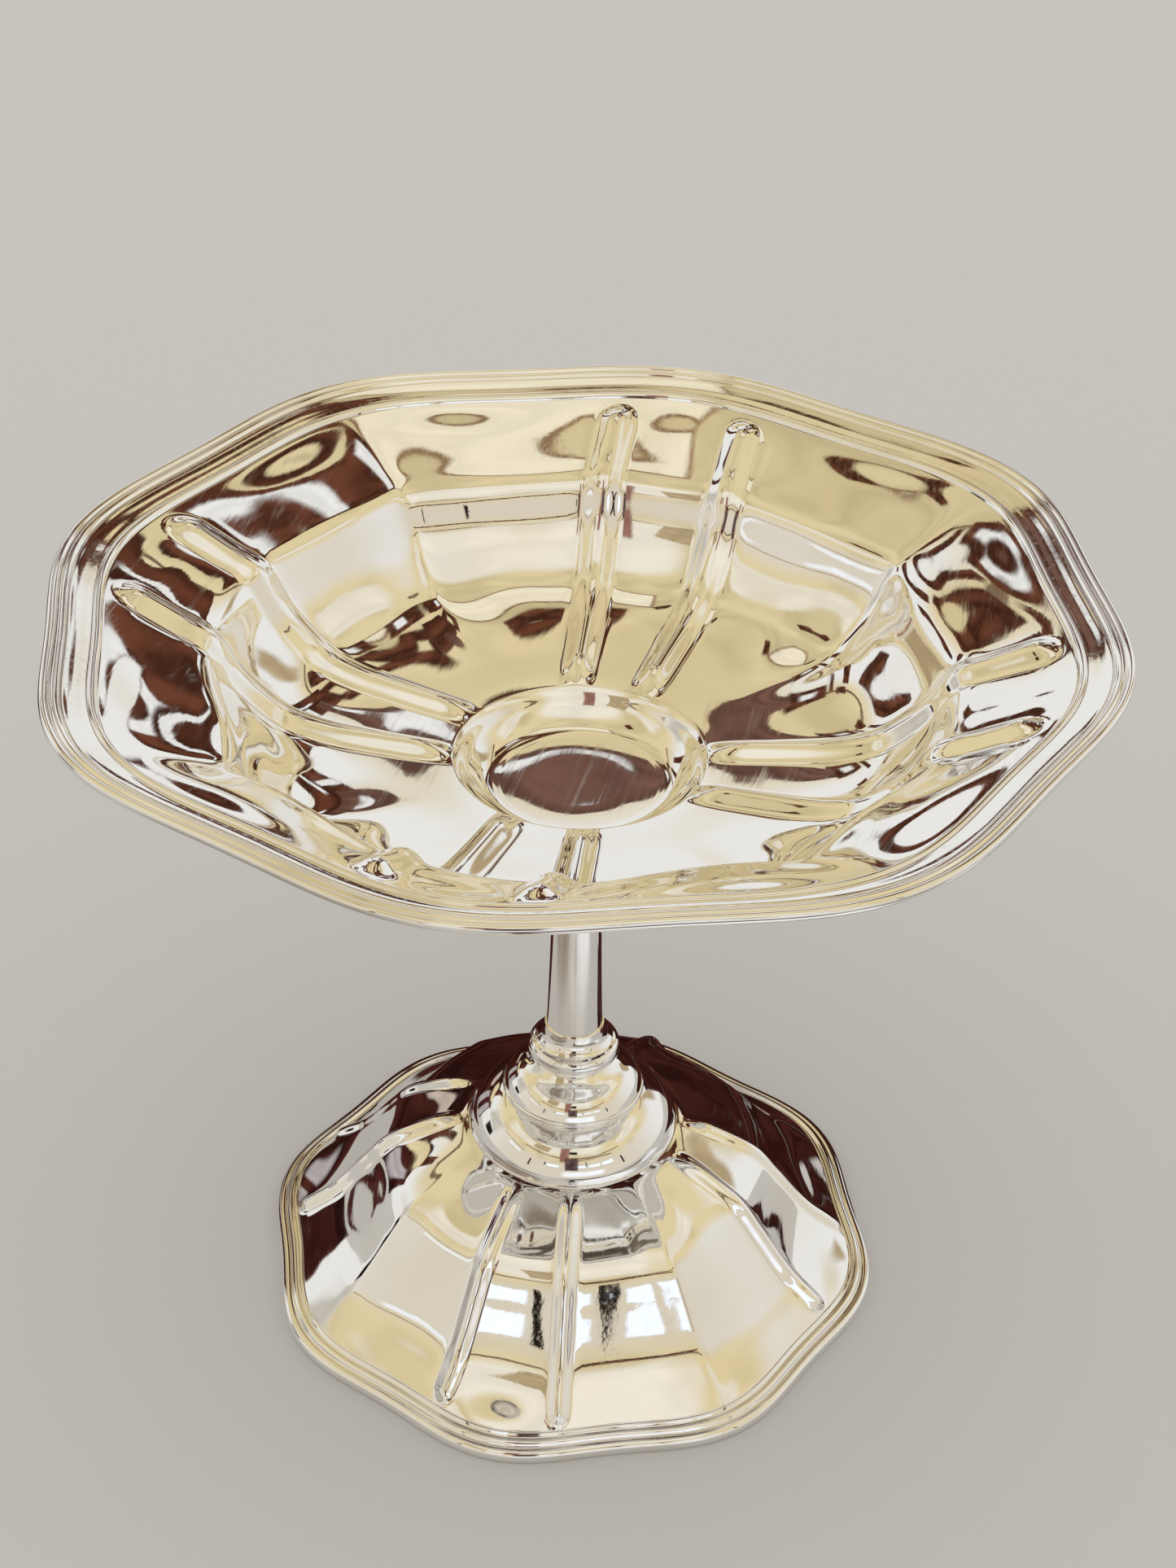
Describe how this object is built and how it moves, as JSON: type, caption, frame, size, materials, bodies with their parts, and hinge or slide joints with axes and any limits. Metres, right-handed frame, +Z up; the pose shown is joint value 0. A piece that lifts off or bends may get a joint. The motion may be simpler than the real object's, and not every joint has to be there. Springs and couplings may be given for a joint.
{
  "type": "silver pedestal sugar dish",
  "caption": "Silver-plated pedestal sugar dish with a soft octagonal panelled bowl, round centre well, slender stem and domed octagonal foot.",
  "frame": {"origin": "middle of the foot at table level", "axes": "+Z up along the stem; the four narrow rib-flanked panels face +X, +Y, -X and -Y"},
  "size_m": [0.172, 0.172, 0.1378],
  "materials": {
    "silver_dish": "mirror-polished silver plate with fine hairlines",
    "silver_mount": "polished silver plate, faint tarnish in the grooves",
    "silver_turned": "mirror-polished turned silver plate",
    "brass": "plain turned brass",
    "steel": "threaded steel rod"
  },
  "bodies": {
    "root": {"dish": "silver_dish", "rim_mount": "silver_mount", "dish_boss": "silver_turned", "stem_collar": "silver_turned", "stem": "silver_turned", "stem_knop": "silver_turned", "foot_cap": "silver_turned", "foot_shell": "silver_dish", "foot_rim": "silver_mount", "foot_washer": "brass", "tie_rod": "steel", "tie_nut": "brass"}
  },
  "joints": []
}
